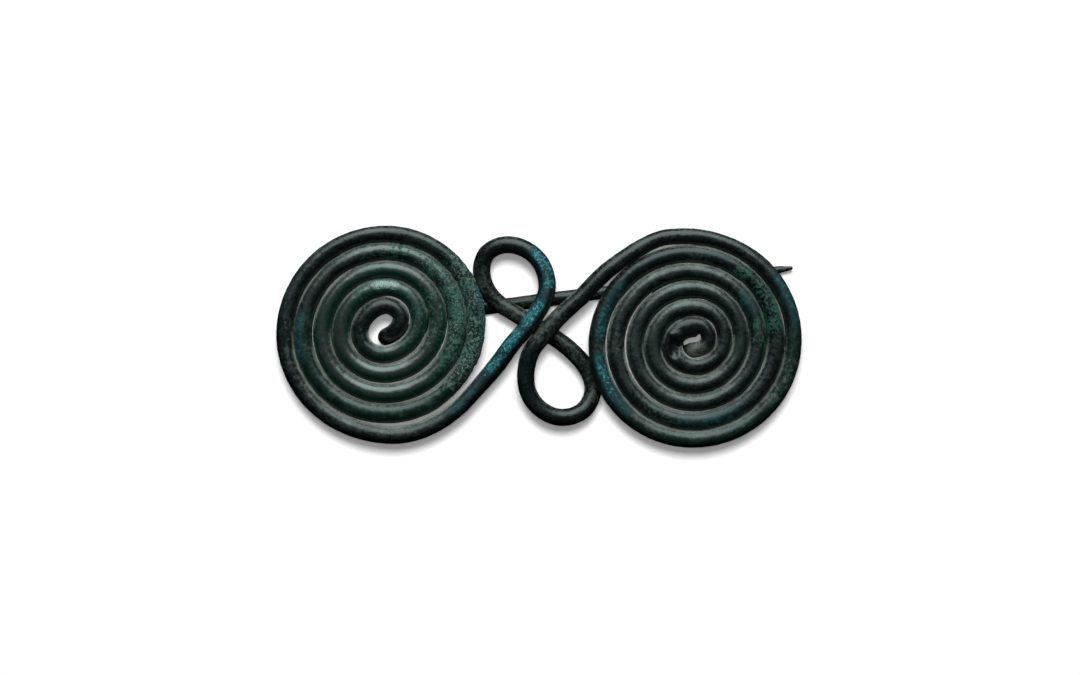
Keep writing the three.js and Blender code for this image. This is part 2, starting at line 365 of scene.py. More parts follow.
@dataclass(frozen=True)
class Disc:
    """A flat spiral of wire, counted in turns from its eye outwards, turn 0 pointing along +X.

    Attributes:
        name: Name of the stretch.
        centre: Middle of the spiral at its eye.
        drift: How far the middle moves with every turn.
        eye_radius: Radius at turn 0.
        pitch: Growth of the radius in the first turn.
        pitch_growth: Added growth, times the square of the turn.
        oval: Weights of the cosine and sine of twice the angle in the radius.
        oval_change: What they gain with every turn.
        wire_radii: Radius of the wire at each whole turn.
        slips: Where the coiling was uneven.
        first_turn: Turn at the eye where the even spiral starts.
        last_turn: Turn at the rim where the wire leaves it.
        gaps: Open slits between neighbouring turns, which press together elsewhere.
        widest: Largest reach of the wire from its centre towards a neighbour.
        closed_gap: Width of the groove's bottom where turns press together.
        fade: Turns over which the pressed form begins and ends.
        level: Height of the wire's centre.
        steps_per_turn: Knots in one turn.
        eye_swell: Added reach inwards of the innermost turn, which has no neighbour inside it.
        eye_swell_turns: Turns where the swelling starts, is full, starts to fade and is gone.
    """

    name: str
    centre: tuple[float, float]
    drift: tuple[float, float]
    eye_radius: float
    pitch: float
    pitch_growth: float
    oval: tuple[float, float]
    oval_change: tuple[float, float]
    wire_radii: tuple[float, ...]
    slips: tuple[Slip, ...]
    first_turn: float
    last_turn: float
    gaps: tuple[Gap, ...]
    widest: float
    closed_gap: float = 0.04
    fade: float = 0.08
    level: float = DISC_LEVEL
    steps_per_turn: int = 30
    eye_swell: float = 0.0
    eye_swell_turns: tuple[float, float, float, float] = (0.1, 0.25, 0.56, 0.8)

    def points(self, turns: np.ndarray) -> np.ndarray:
        """Spiral: radius grows with the turn and its square, plus the oval and the slips.

        Args:
            turns: Turns counted from the eye.

        Returns:
            Points of shape (count, 3), in mm.
        """
        angle = turns * TURN
        oval_cos = self.oval[0] + self.oval_change[0] * turns
        oval_sin = self.oval[1] + self.oval_change[1] * turns
        radius = self.eye_radius + self.pitch * turns + self.pitch_growth * turns**2
        radius = radius + oval_cos * np.cos(2 * angle) + oval_sin * np.sin(2 * angle)
        for slip in self.slips:
            radius = radius + slip.rise * np.exp(-(((turns - slip.turn) / slip.width) ** 2))
        x = self.centre[0] + self.drift[0] * turns + radius * np.cos(angle)
        y = self.centre[1] + self.drift[1] * turns + radius * np.sin(angle)
        return np.stack([x, y, np.full_like(x, self.level)], axis=1)

    def half_room(self, turns: np.ndarray) -> np.ndarray:
        """Half the room between a turn and the next one out, less the groove or slit.

        Args:
            turns: Turns of the inner one of the two.

        Returns:
            How far each of them may reach towards the other, in mm.
        """
        spacing = np.linalg.norm(self.points(turns + 1.0) - self.points(turns), axis=1)
        gap = np.full_like(turns, self.closed_gap)
        for slit in self.gaps:
            share = np.clip((turns - slit.start) / (slit.end - slit.start), 0.0, 1.0)
            gap = np.maximum(gap, slit.width * np.sqrt(np.sin(share * math.pi).clip(0.0, 1.0)))
        return np.minimum(0.5 * (spacing - gap), self.widest)

    def reaches(self, turns: np.ndarray, radii: np.ndarray) -> tuple[np.ndarray, np.ndarray]:
        """How far the wire bulges outwards and inwards in its disc, pressed by its neighbours.

        Args:
            turns: Turns counted from the eye.
            radii: Radius of the unpressed wire there.

        Returns:
            Reach outwards and reach inwards from the wire's centre, in mm.
        """
        has_outer = 1.0 - ease(turns, self.last_turn - 1.0 - self.fade, self.last_turn - 1.0)
        has_inner = ease(turns, self.first_turn + 1.0, self.first_turn + 1.0 + self.fade)
        outwards = radii + has_outer * (self.half_room(turns) - radii)
        swell = ease(turns, *self.eye_swell_turns[:2]) - ease(turns, *self.eye_swell_turns[2:])
        inwards = radii + has_inner * (self.half_room(turns - 1.0) - radii) + self.eye_swell * swell
        start = ease(turns, self.first_turn, self.first_turn + self.fade)
        pressed = start * (1.0 - ease(turns, self.last_turn - self.fade, self.last_turn))
        return radii + pressed * (outwards - radii), radii + pressed * (inwards - radii)

    def stretch(self) -> Stretch:
        """Returns the disc's knots, from the eye outwards, with the turn as their place."""
        first = round(self.first_turn * self.steps_per_turn)
        last = round(self.last_turn * self.steps_per_turn)
        turns = np.arange(first, last + 1) / self.steps_per_turn
        radii = np.interp(turns, np.arange(len(self.wire_radii)), self.wire_radii)
        knots = Stretch.of_round_wire(self.name, self.points(turns), radii)
        knots.places = turns
        return knots


@dataclass(frozen=True)
class Bends:
    """A hand-bent stretch: rows of x, y and height above the discs' level, of one wire radius."""

    name: str
    rows: tuple[tuple[float, float, float], ...]
    radius: float = 1.73
    level: float = DISC_LEVEL

    def stretch(self) -> Stretch:
        """Returns the stretch's knots in the order of its rows."""
        points = np.array(self.rows) + (0.0, 0.0, self.level)
        return Stretch.of_round_wire(self.name, points, np.full(len(points), self.radius))


@dataclass(frozen=True)
class Catch:
    """The wire's inner right end: down behind the disc, hammered to a strip, hooked round the pin.

    Places along the catch are counted from the middle of the pin, square to it, and places across
    it towards the pin's tip.
    """

    pin: Pin
    place_on_pin: float = 0.632
    length: float = 15.6
    rest_flat: float = 0.06
    half_width: float = 2.5
    half_thickness: float = 0.7
    squareness: float = 4.0
    plunge_along: tuple[float, ...] = (-14.2, -14.95)
    plunge_across: tuple[float, ...] = (2.6, 1.2)
    plunge_heights: tuple[float, ...] = (6.5, 4.2)
    plunge_sections: tuple[tuple[float, ...], ...] = ((1.75, 1.6, ROUND), (1.75, 1.3, ROUND))
    bend_radius: float = 2.2
    bend_angles: tuple[float, ...] = (30.0, 60.0)
    bend_sections: tuple[tuple[float, ...], ...] = ((1.9, 1.0, 2.3), (2.1, 0.9, 2.7))
    strip_stops: tuple[float, ...] = (-13.0, -10.5, -8.0, -5.5, -3.0, -1.0)
    hook_from: float = -75.0
    hook_to: float = 55.0
    hook_step: float = 26.0
    hook_thinning: float = 0.75

    def stretch(self) -> Stretch:
        """Knots of the catch: two on the plunge, an arc, the level strip and the arc of the hook.

        Returns:
            The stretch, from behind the disc to the tip of the hook.
        """
        centre = self.pin.centre(np.array(self.place_on_pin))
        level = self.half_thickness - self.rest_flat
        strip = np.array([self.half_width, self.half_thickness, self.squareness])

        bend = np.radians(self.bend_angles)
        bend_along = -self.length + self.bend_radius * (1.0 - np.cos(bend))
        bend_heights = level + self.bend_radius * (1.0 - np.sin(bend))

        hook_angles = np.arange(self.hook_from, self.hook_to + 0.5 * self.hook_step, self.hook_step)
        hook = np.radians(hook_angles)
        hook_radius = centre[2] - level
        thinning = np.interp(hook_angles, (self.hook_from, self.hook_to), (1.0, self.hook_thinning))
        hook_sections = strip * np.stack([thinning, thinning, np.ones_like(thinning)], axis=1)

        along = np.concatenate([
            self.plunge_along, bend_along, self.strip_stops, hook_radius * np.cos(hook),
        ])
        heights = np.concatenate([
            self.plunge_heights,
            bend_heights,
            np.full(len(self.strip_stops), level),
            centre[2] + hook_radius * np.sin(hook),
        ])
        sections = np.concatenate([
            self.plunge_sections,
            self.bend_sections,
            np.tile(strip, (len(self.strip_stops), 1)),
            hook_sections,
        ])
        across = np.zeros(len(along))
        across[: len(self.plunge_across)] = self.plunge_across
        way = self.pin.way()
        x = centre[0] - way[1] * along + way[0] * across
        y = centre[1] + way[0] * along + way[1] * across
        points = np.stack([x, y, heights], axis=1)
        return Stretch("catch", points, sections, np.linspace(0.0, 1.0, len(points)))


@dataclass
class Rings:
    """Places along the finished wire where its rings of vertices stand.

    Attributes:
        centres: Centre of each ring.
        tangents: Direction of the wire there.
        sides: Sideways direction of its section.
        sections: Half width, half thickness and squareness.
        stretch_index: Number of the stretch that each ring belongs to.
        places: Place of each ring on its stretch.
        along: Distance from the pin's tip.
    """

    centres: np.ndarray
    tangents: np.ndarray
    sides: np.ndarray
    sections: np.ndarray
    stretch_index: np.ndarray
    places: np.ndarray
    along: np.ndarray


@dataclass(frozen=True)
class WireCourse:
    """The wire's centreline: one smooth curve through the knots of all its stretches."""

    stretches: tuple[Stretch, ...]
    end_side: np.ndarray
    samples_per_span: int = 24
    fine_step: float = 0.1
    evening: float = 5.0
    ring_count: int = 3280
    twist_axis: Direction = (0.612, -0.354, 0.707)

    def curve(self, knots: np.ndarray, shares: np.ndarray) -> np.ndarray:
        """Centripetal spline: each span is a cubic whose end slopes weigh both neighbours.

        The time between two knots is the square root of their distance.

        Args:
            knots: Points of shape (count, 3).
            shares: Shares of a span at which to read it.

        Returns:
            Points of shape (spans, shares, 3).
        """
        first = 2 * knots[:1] - knots[1:2]
        last = 2 * knots[-1:] - knots[-2:-1]
        full = np.concatenate([first, knots, last])
        times = np.sqrt(np.linalg.norm(np.diff(full, axis=0), axis=1))[:, None]
        p0, p1, p2, p3 = full[:-3], full[1:-2], full[2:-1], full[3:]
        t0, t1, t2 = times[:-2], times[1:-1], times[2:]
        slope1 = ((p1 - p0) / t0 - (p2 - p0) / (t0 + t1) + (p2 - p1) / t1) * t1
        slope2 = ((p2 - p1) / t1 - (p3 - p1) / (t1 + t2) + (p3 - p2) / t2) * t1
        s = shares[None, :, None]
        a, b, m, n = (each[:, None, :] for each in (p1, p2, slope1, slope2))
        return (
            (2 * s**3 - 3 * s**2 + 1) * a
            + (s**3 - 2 * s**2 + s) * m
            + (3 * s**2 - 2 * s**3) * b
            + (s**3 - s**2) * n
        )

    def sideways(self, tangents: np.ndarray) -> np.ndarray:
        """Sideways directions without twist.

        A direction square to the tangent is taken from a fixed slanting axis. It turns about the
        tangent as the wire bends, and the running sum of that turning is taken off again.

        Args:
            tangents: Unit directions of the wire.

        Returns:
            Unit directions, equal to end_side at the last ring.
        """
        first = unit(np.cross(np.array(self.twist_axis), tangents))
        second = np.cross(tangents, first)
        step = np.diff(first, axis=0)
        middle = 0.5 * (second[1:] + second[:-1])
        turning = np.concatenate([[0.0], np.cumsum(np.sum(step * middle, axis=1))])
        wanted = self.end_side - tangents[-1] * (self.end_side @ tangents[-1])
        end_angle = math.atan2(wanted @ second[-1], wanted @ first[-1])
        angle = (end_angle + turning[-1] - turning)[:, None]
        return np.cos(angle) * first + np.sin(angle) * second

    def rings(self) -> Rings:
        """Reads the curve finely, evens it out and sets the rings at equal steps along it.

        Returns:
            The rings, from the pin's tip to the end of the catch.
        """
        knots = np.concatenate([each.points for each in self.stretches])
        counts = [len(each.points) for each in self.stretches]
        owner = np.repeat(np.arange(len(counts)), counts)
        sections = np.concatenate([each.sections for each in self.stretches])
        places = np.concatenate([each.places for each in self.stretches])

        shares = np.arange(self.samples_per_span) / self.samples_per_span
        spans = self.curve(knots, shares)
        line = np.concatenate([spans.reshape(-1, 3), knots[-1:]])
        knot_number = np.arange(len(line)) / self.samples_per_span
        run = np.concatenate([[0.0], np.cumsum(np.linalg.norm(np.diff(line, axis=0), axis=1))])

        fine_along = np.linspace(0.0, run[-1], int(run[-1] / self.fine_step))
        fine_number = np.interp(fine_along, run, knot_number)
        fine_line = blur(columns_at(fine_along, run, line), self.evening)
        knot_places = np.arange(len(knots))
        fine_sections = blur(columns_at(fine_number, knot_places, sections), self.evening)
        fine_tangents = unit(np.gradient(fine_line, axis=0))

        along = np.linspace(0.0, run[-1], self.ring_count)
        tangents = unit(columns_at(along, fine_along, fine_tangents))
        number = np.interp(along, fine_along, fine_number)
        nearest = np.clip(np.round(number).astype(int), 0, len(knots) - 1)
        first_knots = np.cumsum([0] + counts[:-1])[owner[nearest]]
        last_knots = np.cumsum(counts)[owner[nearest]] - 1
        return Rings(
            centres=columns_at(along, fine_along, fine_line),
            tangents=tangents,
            sides=self.sideways(tangents),
            sections=columns_at(along, fine_along, fine_sections),
            stretch_index=owner[nearest],
            places=np.interp(np.clip(number, first_knots, last_knots), knot_places, places),
            along=along,
        )


@dataclass(frozen=True)
class Relief:
    """Unevenness of the wire's surface, as heights outwards in mm."""

    hammer_depth: float = 0.06
    hammer_cell: float = 4.2
    hammer_stretch: Direction = (0.5, 1.0, 1.0)
    skin_depth: float = 0.026
    skin_cell: float = 0.75
    crust_lift: float = 0.10
    crust_depth: float = 0.19
    crust_cell: float = 0.85
    pit_depth: float = 0.2
    pit_cell: float = 1.1
    pit_step: Pair = (0.35, 0.75)

    def heights(self, wire_places: np.ndarray, points: np.ndarray, crust: np.ndarray) -> np.ndarray:
        """Sum of soft hammer marks, a fine skin, and lumps and pits where the crust lies.

        Args:
            wire_places: Distance along the wire and place round it, as (rings, sides, 3).
            points: The same vertices in space.
            crust: Density of the crust at each.

        Returns:
            Heights of shape (rings, sides).
        """
        hammer = grain(wire_places * self.hammer_stretch, self.hammer_cell, Seed.HAMMER)
        skin = layered(points, self.skin_cell, Seed.SKIN)
        lumps = layered(points, self.crust_cell, Seed.LUMPS)
        pits = ease(grain(points, self.pit_cell, Seed.PITS), *self.pit_step)
        rough = self.crust_lift + self.crust_depth * lumps - self.pit_depth * pits
        return self.hammer_depth * hammer + self.skin_depth * skin + crust * rough


@dataclass(frozen=True)
class Hollow:
    """A flaw in the wire: a sunk place with a lip at one end.

    Attributes:
        centre: Middle of the bowl, seen from above.
        half_size: Half its size along X and Y.
        tail: How many times longer it is below its centre than above.
        wall: Shares of its half size where its wall starts, and ends.
        depth: Its depth.
        lip_offset: Distance of the lip's crest from the centre, along Y.
        lip_half: Half the width of the lip.
        lip_ends: Shares of the half size along X where the lip starts to run out, and is gone.
        lip_height: Its height.
        show_side: Upward part of the outward direction where the flaw starts, and is whole.
    """

    centre: Pair = (26.85, -1.75)
    half_size: Pair = (1.15, 1.6)
    tail: float = 1.5
    wall: Pair = (0.45, 1.25)
    depth: float = 0.85
    lip_offset: float = 2.45
    lip_half: float = 0.45
    lip_ends: Pair = (1.0, 1.8)
    lip_height: float = 0.22
    show_side: Pair = (0.0, 0.5)

    def sunk(self, points: np.ndarray, normals: np.ndarray) -> np.ndarray:
        """Bell-shaped bowl with steep walls, drawn out below its centre, on the show side only.

        Args:
            points: Vertices of the wire, in mm.
            normals: Their outward directions.

        Returns:
            Shares of the full depth, all zero but in the bowl.
        """
        x = (points[..., 0] - self.centre[0]) / self.half_size[0]
        y = (points[..., 1] - self.centre[1]) / self.half_size[1]
        y = np.where(y < 0.0, y / self.tail, y)
        bowl = 1.0 - ease(np.sqrt(x**2 + y**2), *self.wall)
        return bowl * ease(normals[..., 2], *self.show_side)

    def heights(self, points: np.ndarray, normals: np.ndarray) -> np.ndarray:
        """A low ridge across the upper end, with the profile of a bell curve, less the bowl.

        Args:
            points: Vertices of the wire, in mm.
            normals: Their outward directions.

        Returns:
            Heights, all zero but round the flaw.
        """
        x = (points[..., 0] - self.centre[0]) / self.half_size[0]
        y = (points[..., 1] - self.centre[1] - self.lip_offset) / self.lip_half
        ridge = np.exp(-(y**2)) * (1.0 - ease(np.abs(x), *self.lip_ends))
        ridge = ridge * ease(normals[..., 2], *self.show_side)
        return self.lip_height * ridge - self.depth * self.sunk(points, normals)


@dataclass(frozen=True)
class Weathering:
    """Wear and dirt that follow the slope of the surface and a random weather, over the stains, the
    dirt mostly on the sides facing the top softbox as painted light.

    Attributes:
        weather_cell: Lattice of the weather, in mm.
        weather_step: Values of its field where the weather leaves 0, and is 1.
        worn_metal_and_highlight_least: Share of the worn metal, with its painted highlight, where the
            weather is 0.
        worn_soil: Soil all round the wire where the weather is 0.
        worn_step: How far below 1 the weather is where that soil starts, and is full.
        patch_cell: Lattice of the patches that dirt comes in, in mm.
        soil_slope: Upward part of the outward direction where soil starts to thin, and is gone.
        soil_least: Share of the soil between its patches.
        clay_slope: The same as the soil's slope, for the pale clay deeper in the grooves.
        clay_least: Share of the clay between its patches.
        lamp_side_step: Part of the outward direction along +Y, towards the top softbox, where dirt
            starts to grow, and is full; the paler dirt there is partly painted light.
        lamp_side_least: Share of the dirt on the sides that face the other way, which stay dark as
            painted shade.
        speck_cell: Lattice of the scattered specks, in mm.
        speck_step: Values of their field where they start, and are full.
        scattered_specks: Density of the scattered specks.
        groove_step: Strength of the patches where specks start in the grooves, and are full.
        groove_specks: Density of the specks in the grooves.
    """

    weather_cell: float = 8.0
    weather_step: Pair = (-0.6, 0.6)
    worn_metal_and_highlight_least: float = 0.6
    worn_soil: float = 0.25
    worn_step: Pair = (0.55, 0.95)
    patch_cell: float = 5.0
    soil_slope: Pair = (0.42, 0.96)
    soil_least: float = 0.6
    clay_slope: Pair = (0.25, 0.72)
    clay_least: float = 0.5
    lamp_side_step: Pair = (-0.5, 0.4)
    lamp_side_least: float = 0.08
    speck_cell: float = 3.0
    speck_step: Pair = (0.0, 0.6)
    scattered_specks: float = 0.1
    groove_step: Pair = (0.45, 0.75)
    groove_specks: float = 0.33

    def lay(
        self, cover: dict[Tone, np.ndarray], points: np.ndarray, normals: np.ndarray, held: np.ndarray
    ) -> None:
        """Thins the worn metal, and adds soil, clay and specks to the stains, most of them on the
        sides facing the top softbox as painted light.

        Args:
            cover: Density of every tone, which this changes.
            points: Vertices of the wire, in mm.
            normals: Their outward directions.
            held: How well dirt holds at each.
        """
        weather = ease(grain(points, self.weather_cell, Seed.WEATHER), *self.weather_step)
        cover[Tone.SHEEN] *= raised(weather, self.worn_metal_and_highlight_least)

        patches = 0.5 + 0.5 * grain(points, self.patch_cell, Seed.PATCHES)
        # Dirt gathers on the sides facing the top softbox: the paler soil, clay and groove specks
        # there are painted light on the lit edges.
        lamp_side = raised(ease(normals[..., 1], *self.lamp_side_step), self.lamp_side_least)
        sides = 1.0 - ease(normals[..., 2], *self.soil_slope)
        sides = sides * raised(patches, self.soil_least) * lamp_side
        worn = self.worn_soil * ease(1.0 - weather, *self.worn_step)
        cover[Tone.SOIL] = np.maximum(cover[Tone.SOIL], held * np.maximum(sides, worn))

        deep = 1.0 - ease(normals[..., 2], *self.clay_slope)
        cover[Tone.CLAY] = held * deep * lamp_side * raised(patches, self.clay_least)

        scattered = ease(grain(points, self.speck_cell, Seed.SPECKS), *self.speck_step)
        in_grooves = held * sides * ease(patches, *self.groove_step)
        specks = self.scattered_specks * scattered + self.groove_specks * in_grooves
        cover[Tone.SPECK] = np.maximum(cover[Tone.SPECK], specks)


@dataclass(frozen=True)
class NoiseKind:
    """Size of a noise texture: cells in a metre, finer layers on top, and the layers' weight."""

    cells: float
    layers: float
    weight: float = 0.55


@dataclass
class Graph:
    """Node tree of one material, with short ways to add what the finish needs."""

    tree: bpy.types.NodeTree

    def add(self, kind: str, **values: object) -> bpy.types.Node:
        """Adds a node and sets its properties.

        Args:
            kind: Type of the node.
            **values: Properties to set on it.

        Returns:
            The node.
        """
        node = self.tree.nodes.new(kind)
        for name, value in values.items():
            setattr(node, name, value)
        return node

    def feed(self, socket: bpy.types.NodeSocket, value: object) -> None:
        """Links an output to an input, or sets the input to a constant."""
        if isinstance(value, bpy.types.NodeSocket):
            self.tree.links.new(value, socket)
        else:
            socket.default_value = value

    def attribute(self, name: str) -> bpy.types.Node:
        """Returns a node that reads a mesh attribute."""
        return self.add("ShaderNodeAttribute", attribute_name=name)

    def density(self, tone: Tone) -> object:
        """Returns the density of a tone, from its attribute."""
        return self.attribute(tone.value).outputs["Fac"]

    def noise(self, vector: object, kind: NoiseKind) -> object:
        """Adds a noise texture.

        Args:
            vector: Coordinates that it reads.
            kind: Its size.

        Returns:
            Its value, about 0.5.
        """
        node = self.add("ShaderNodeTexNoise")
        self.feed(node.inputs["Vector"], vector)
        node.inputs["Scale"].default_value = kind.cells
        node.inputs["Detail"].default_value = kind.layers
        node.inputs["Roughness"].default_value = kind.weight
        return node.outputs["Fac"]

    def math(self, operation: str, first: object, second: object) -> object:
        """Returns the result of a math node on two values."""
        node = self.add("ShaderNodeMath", operation=operation)
        self.feed(node.inputs[0], first)
        self.feed(node.inputs[1], second)
        return node.outputs[0]

    def weigh(self, first: object, second: object, weights: Pair) -> object:
        """Returns two values added, each times its weight."""
        parts = (self.math("MULTIPLY", *part) for part in zip((first, second), weights))
        return self.math("ADD", *parts)

    def largest(self, *values: object) -> object:
        """Returns the largest of several values."""
        return reduce(lambda first, second: self.math("MAXIMUM", first, second), values)

    def remap(self, value: object, low: float, high: float, top: float = 1.0) -> object:
        """Adds a soft step.

        Args:
            value: What it reads.
            low: Value that gives 0.
            high: Value that gives the top.
            top: Largest result.

        Returns:
            The stepped value.
        """
        node = self.add("ShaderNodeMapRange", interpolation_type="SMOOTHSTEP")
        self.feed(node.inputs["Value"], value)
        node.inputs["From Min"].default_value = low
        node.inputs["From Max"].default_value = high
        node.inputs["To Max"].default_value = top
        return node.outputs["Result"]

    def blend(self, share: object, under: object, over: object) -> object:
        """Returns a colour mixed from under, at share 0, to over, at share 1."""
        node = self.add("ShaderNodeMix", data_type="RGBA")
        self.feed(node.inputs["Factor"], share)
        self.feed(node.inputs[MIX_UNDER_SOCKET], under)
        self.feed(node.inputs[MIX_OVER_SOCKET], over)
        return node.outputs[MIX_COLOUR_SOCKET]


def colour(red: float, green: float, blue: float) -> tuple[float, float, float, float]:
    """Returns a linear colour with full cover."""
    return (red, green, blue, 1.0)


@dataclass(frozen=True)
class Noises:
    """Values of the noise textures that break up the patina.

    Attributes:
        clouds: Soft patches a few millimetres wide.
        flecks: Grains of about half a millimetre.
        dust: The finest grains.
        streaks: Marks drawn out along the wire.
        mottle: Patches with clearer edges, of clouds and flecks together.
    """

    clouds: object
    flecks: object
    dust: object
    streaks: object
    mottle: object


@dataclass(frozen=True)
class PatinaFinish:
    """Dark patina of old bronze, with green and turquoise bloom, crust, soil and pale specks, and worn
    metal on the side towards the top softbox that is partly a painted highlight.

    Colours come first, then the noises with their weights, then the values of a noise or a density
    where a detail starts to show and is full, and then the gloss and the bump.
    """

    name: str = SLOT
    night: tuple[float, ...] = colour(0.004, 0.007, 0.007)
    slate: tuple[float, ...] = colour(0.026, 0.035, 0.034)
    bottle: tuple[float, ...] = colour(0.005, 0.042, 0.027)
    # Colour of the worn metal on the lit side: partly real, partly a painted highlight.
    sheen: tuple[float, ...] = colour(0.120, 0.128, 0.122)
    # Soil and clay colours, laid mostly on the lit sides: partly painted light.
    umber: tuple[float, ...] = colour(0.235, 0.240, 0.205)
    clay: tuple[float, ...] = colour(0.440, 0.425, 0.375)
    leaf: tuple[float, ...] = colour(0.006, 0.090, 0.055)
    leaf_pale: tuple[float, ...] = colour(0.09, 0.23, 0.18)
    veil: tuple[float, ...] = colour(0.0, 0.038, 0.048)
    sky: tuple[float, ...] = colour(0.002, 0.118, 0.140)
    sky_pale: tuple[float, ...] = colour(0.14, 0.58, 0.70)
    crack: tuple[float, ...] = colour(0.006, 0.011, 0.009)
    stone: tuple[float, ...] = colour(0.270, 0.285, 0.230)
    stone_blue: tuple[float, ...] = colour(0.085, 0.195, 0.165)
    # Pale colour of the specks, also used for a painted highlight spot.
    chalk_and_glint: tuple[float, ...] = colour(0.48, 0.60, 0.54)

    clouds: NoiseKind = NoiseKind(300.0, 4.0)
    flecks: NoiseKind = NoiseKind(1700.0, 4.0, 0.6)
    dust: NoiseKind = NoiseKind(5200.0, 2.0)
    streaks: NoiseKind = NoiseKind(1500.0, 3.0)
    mottle_weights: Pair = (0.6, 0.4)
    wear_weights: Pair = (0.5, 0.3)
    smear_weights: Pair = (0.35, 0.25)

    mottle_step: Pair = (0.4, 0.6)
    grit_step: Pair = (0.5, 0.7)
    drift_step: Pair = (0.35, 0.65)
    stone_step: Pair = (0.3, 0.5)
    crack_step: Pair = (0.46, 0.53)
    veil_step: Pair = (0.1, 0.7)
    veil_most: float = 0.9
    sparkle_step: Pair = (0.5, 0.62)
    sparkle_veil_step: Pair = (0.35, 0.85)

    metal: float = 0.85
    clean_roughness: float = 0.26
    added_when_matte: float = 0.4
    added_by_flecks: float = 0.12
    rough_fleck_step: Pair = (0.25, 0.75)
    specular: float = 0.6
    bump_strength: float = 0.5
    bump_metres: float = 0.00009
    bump_weights: Pair = (1.0, 0.6)

    def noises(self, graph: Graph) -> Noises:
        """Adds the noise textures, which read Object coordinates or the place on the wire.

        Args:
            graph: Node tree of the material.

        Returns:
            Their values.
        """
        place = graph.add("ShaderNodeTexCoord").outputs["Object"]
        wire_place = graph.attribute(WIRE_PLACE).outputs["Vector"]
        clouds = graph.noise(place, self.clouds)
        flecks = graph.noise(place, self.flecks)
        dust = graph.noise(place, self.dust)
        streaks = graph.noise(wire_place, self.streaks)
        mottle = graph.remap(graph.weigh(flecks, clouds, self.mottle_weights), *self.mottle_step)
        return Noises(clouds, flecks, dust, streaks, mottle)

    def covers(self, graph: Graph, noises: Noises) -> dict[Tone, object]:
        """Cover of each tone: its density plus the noise that breaks it up, through a soft step.

        Args:
            graph: Node tree of the material.
            noises: Values of the noise textures.

        Returns:
            A value from 0 to 1 for each tone.
        """
        wear = graph.weigh(noises.streaks, noises.mottle, self.wear_weights)
        smears = graph.weigh(noises.streaks, noises.mottle, self.smear_weights)
        breakups = {
            Tone.BOTTLE: noises.clouds,
            Tone.SHEEN: wear,
            Tone.SOIL: smears,
            Tone.CLAY: smears,
            Tone.GREEN: noises.mottle,
            Tone.CRUST: noises.mottle,
            Tone.TURQUOISE: noises.mottle,
            Tone.SPECK: noises.dust,
        }
        return {
            tone: graph.remap(graph.math("ADD", graph.density(tone), breakup), *COVER_STEPS[tone])
            for tone, breakup in breakups.items()
        }

    def stone_colour(self, graph: Graph, noises: Noises) -> object:
        """Colour of the crust: grey and blue in drifts, green between its grains, and dark cracks.

        Args:
            graph: Node tree of the material.
            noises: Values of the noise textures.

        Returns:
            The colour.
        """
        drift = graph.remap(noises.clouds, *self.drift_step)
        stone = graph.blend(drift, self.stone, self.stone_blue)
        stone = graph.blend(graph.remap(noises.dust, *self.stone_step), self.leaf, stone)
        return graph.blend(graph.remap(noises.flecks, *self.crack_step), self.crack, stone)

    def base_colour(
        self, graph: Graph, noises: Noises, covers: dict[Tone, object], veiled: object
    ) -> object:
        """Lays the tones over the dark ground, one after another.

        Args:
            graph: Node tree of the material.
            noises: Values of the noise textures.
            covers: Cover of each tone.
            veiled: Cover of the thin veil under the turquoise bloom.

        Returns:
            The colour.
        """
        grit = graph.remap(noises.dust, *self.grit_step)
        bright_dust = graph.remap(noises.dust, *self.sparkle_step)
        bright_veil = graph.remap(graph.density(Tone.TURQUOISE), *self.sparkle_veil_step)
        sparkle = graph.math("MULTIPLY", bright_dust, bright_veil)
        base = graph.blend(grit, self.night, self.slate)
        layers = (
            (covers[Tone.BOTTLE], self.bottle),
            (covers[Tone.SHEEN], self.sheen),
            (covers[Tone.SOIL], self.umber),
            (covers[Tone.CLAY], self.clay),
            (covers[Tone.GREEN], graph.blend(grit, self.leaf, self.leaf_pale)),
            (covers[Tone.CRUST], self.stone_colour(graph, noises)),
            (veiled, self.veil),
            (covers[Tone.TURQUOISE], graph.blend(sparkle, self.sky, self.sky_pale)),
            (covers[Tone.SPECK], self.chalk_and_glint),
        )
        for cover, over in layers:
            base = graph.blend(cover, base, over)
        return base

    def material(self) -> bpy.types.Material:
        """Makes the patina: its colours, a dull metal gloss where it is worn to the metal on the side
        towards the top softbox, partly a painted highlight, and fine bumps.

        Returns:
            The material.
        """
        material = bpy.data.materials.new(self.name)
        material.use_nodes = True
        graph = Graph(material.node_tree)
        shader = material.node_tree.nodes["Principled BSDF"]
        noises = self.noises(graph)
        covers = self.covers(graph, noises)
        veiled = graph.remap(graph.density(Tone.TURQUOISE), *self.veil_step, self.veil_most)
        graph.feed(shader.inputs["Base Color"], self.base_colour(graph, noises, covers, veiled))

        dull = (Tone.GREEN, Tone.CRUST, Tone.SPECK, Tone.SOIL)
        matte = graph.largest(veiled, *(covers[tone] for tone in dull))
        # Metallic only where the worn metal lies, on the side towards the top softbox: partly a
        # painted highlight.
        bare_on_lit_side = graph.math("MULTIPLY", covers[Tone.SHEEN], graph.math("SUBTRACT", 1.0, matte))
        graph.feed(shader.inputs["Metallic"], graph.math("MULTIPLY", bare_on_lit_side, self.metal))
        flecked = graph.remap(noises.flecks, *self.rough_fleck_step, self.added_by_flecks)
        rough = graph.weigh(matte, flecked, (self.added_when_matte, 1.0))
        graph.feed(shader.inputs["Roughness"], graph.math("ADD", rough, self.clean_roughness))
        shader.inputs["Specular IOR Level"].default_value = self.specular

        bump = graph.add("ShaderNodeBump")
        bump.inputs["Strength"].default_value = self.bump_strength
        bump.inputs["Distance"].default_value = self.bump_metres
        height = graph.weigh(noises.flecks, noises.streaks, self.bump_weights)
        graph.feed(bump.inputs["Height"], height)
        graph.feed(shader.inputs["Normal"], bump.outputs["Normal"])
        return material


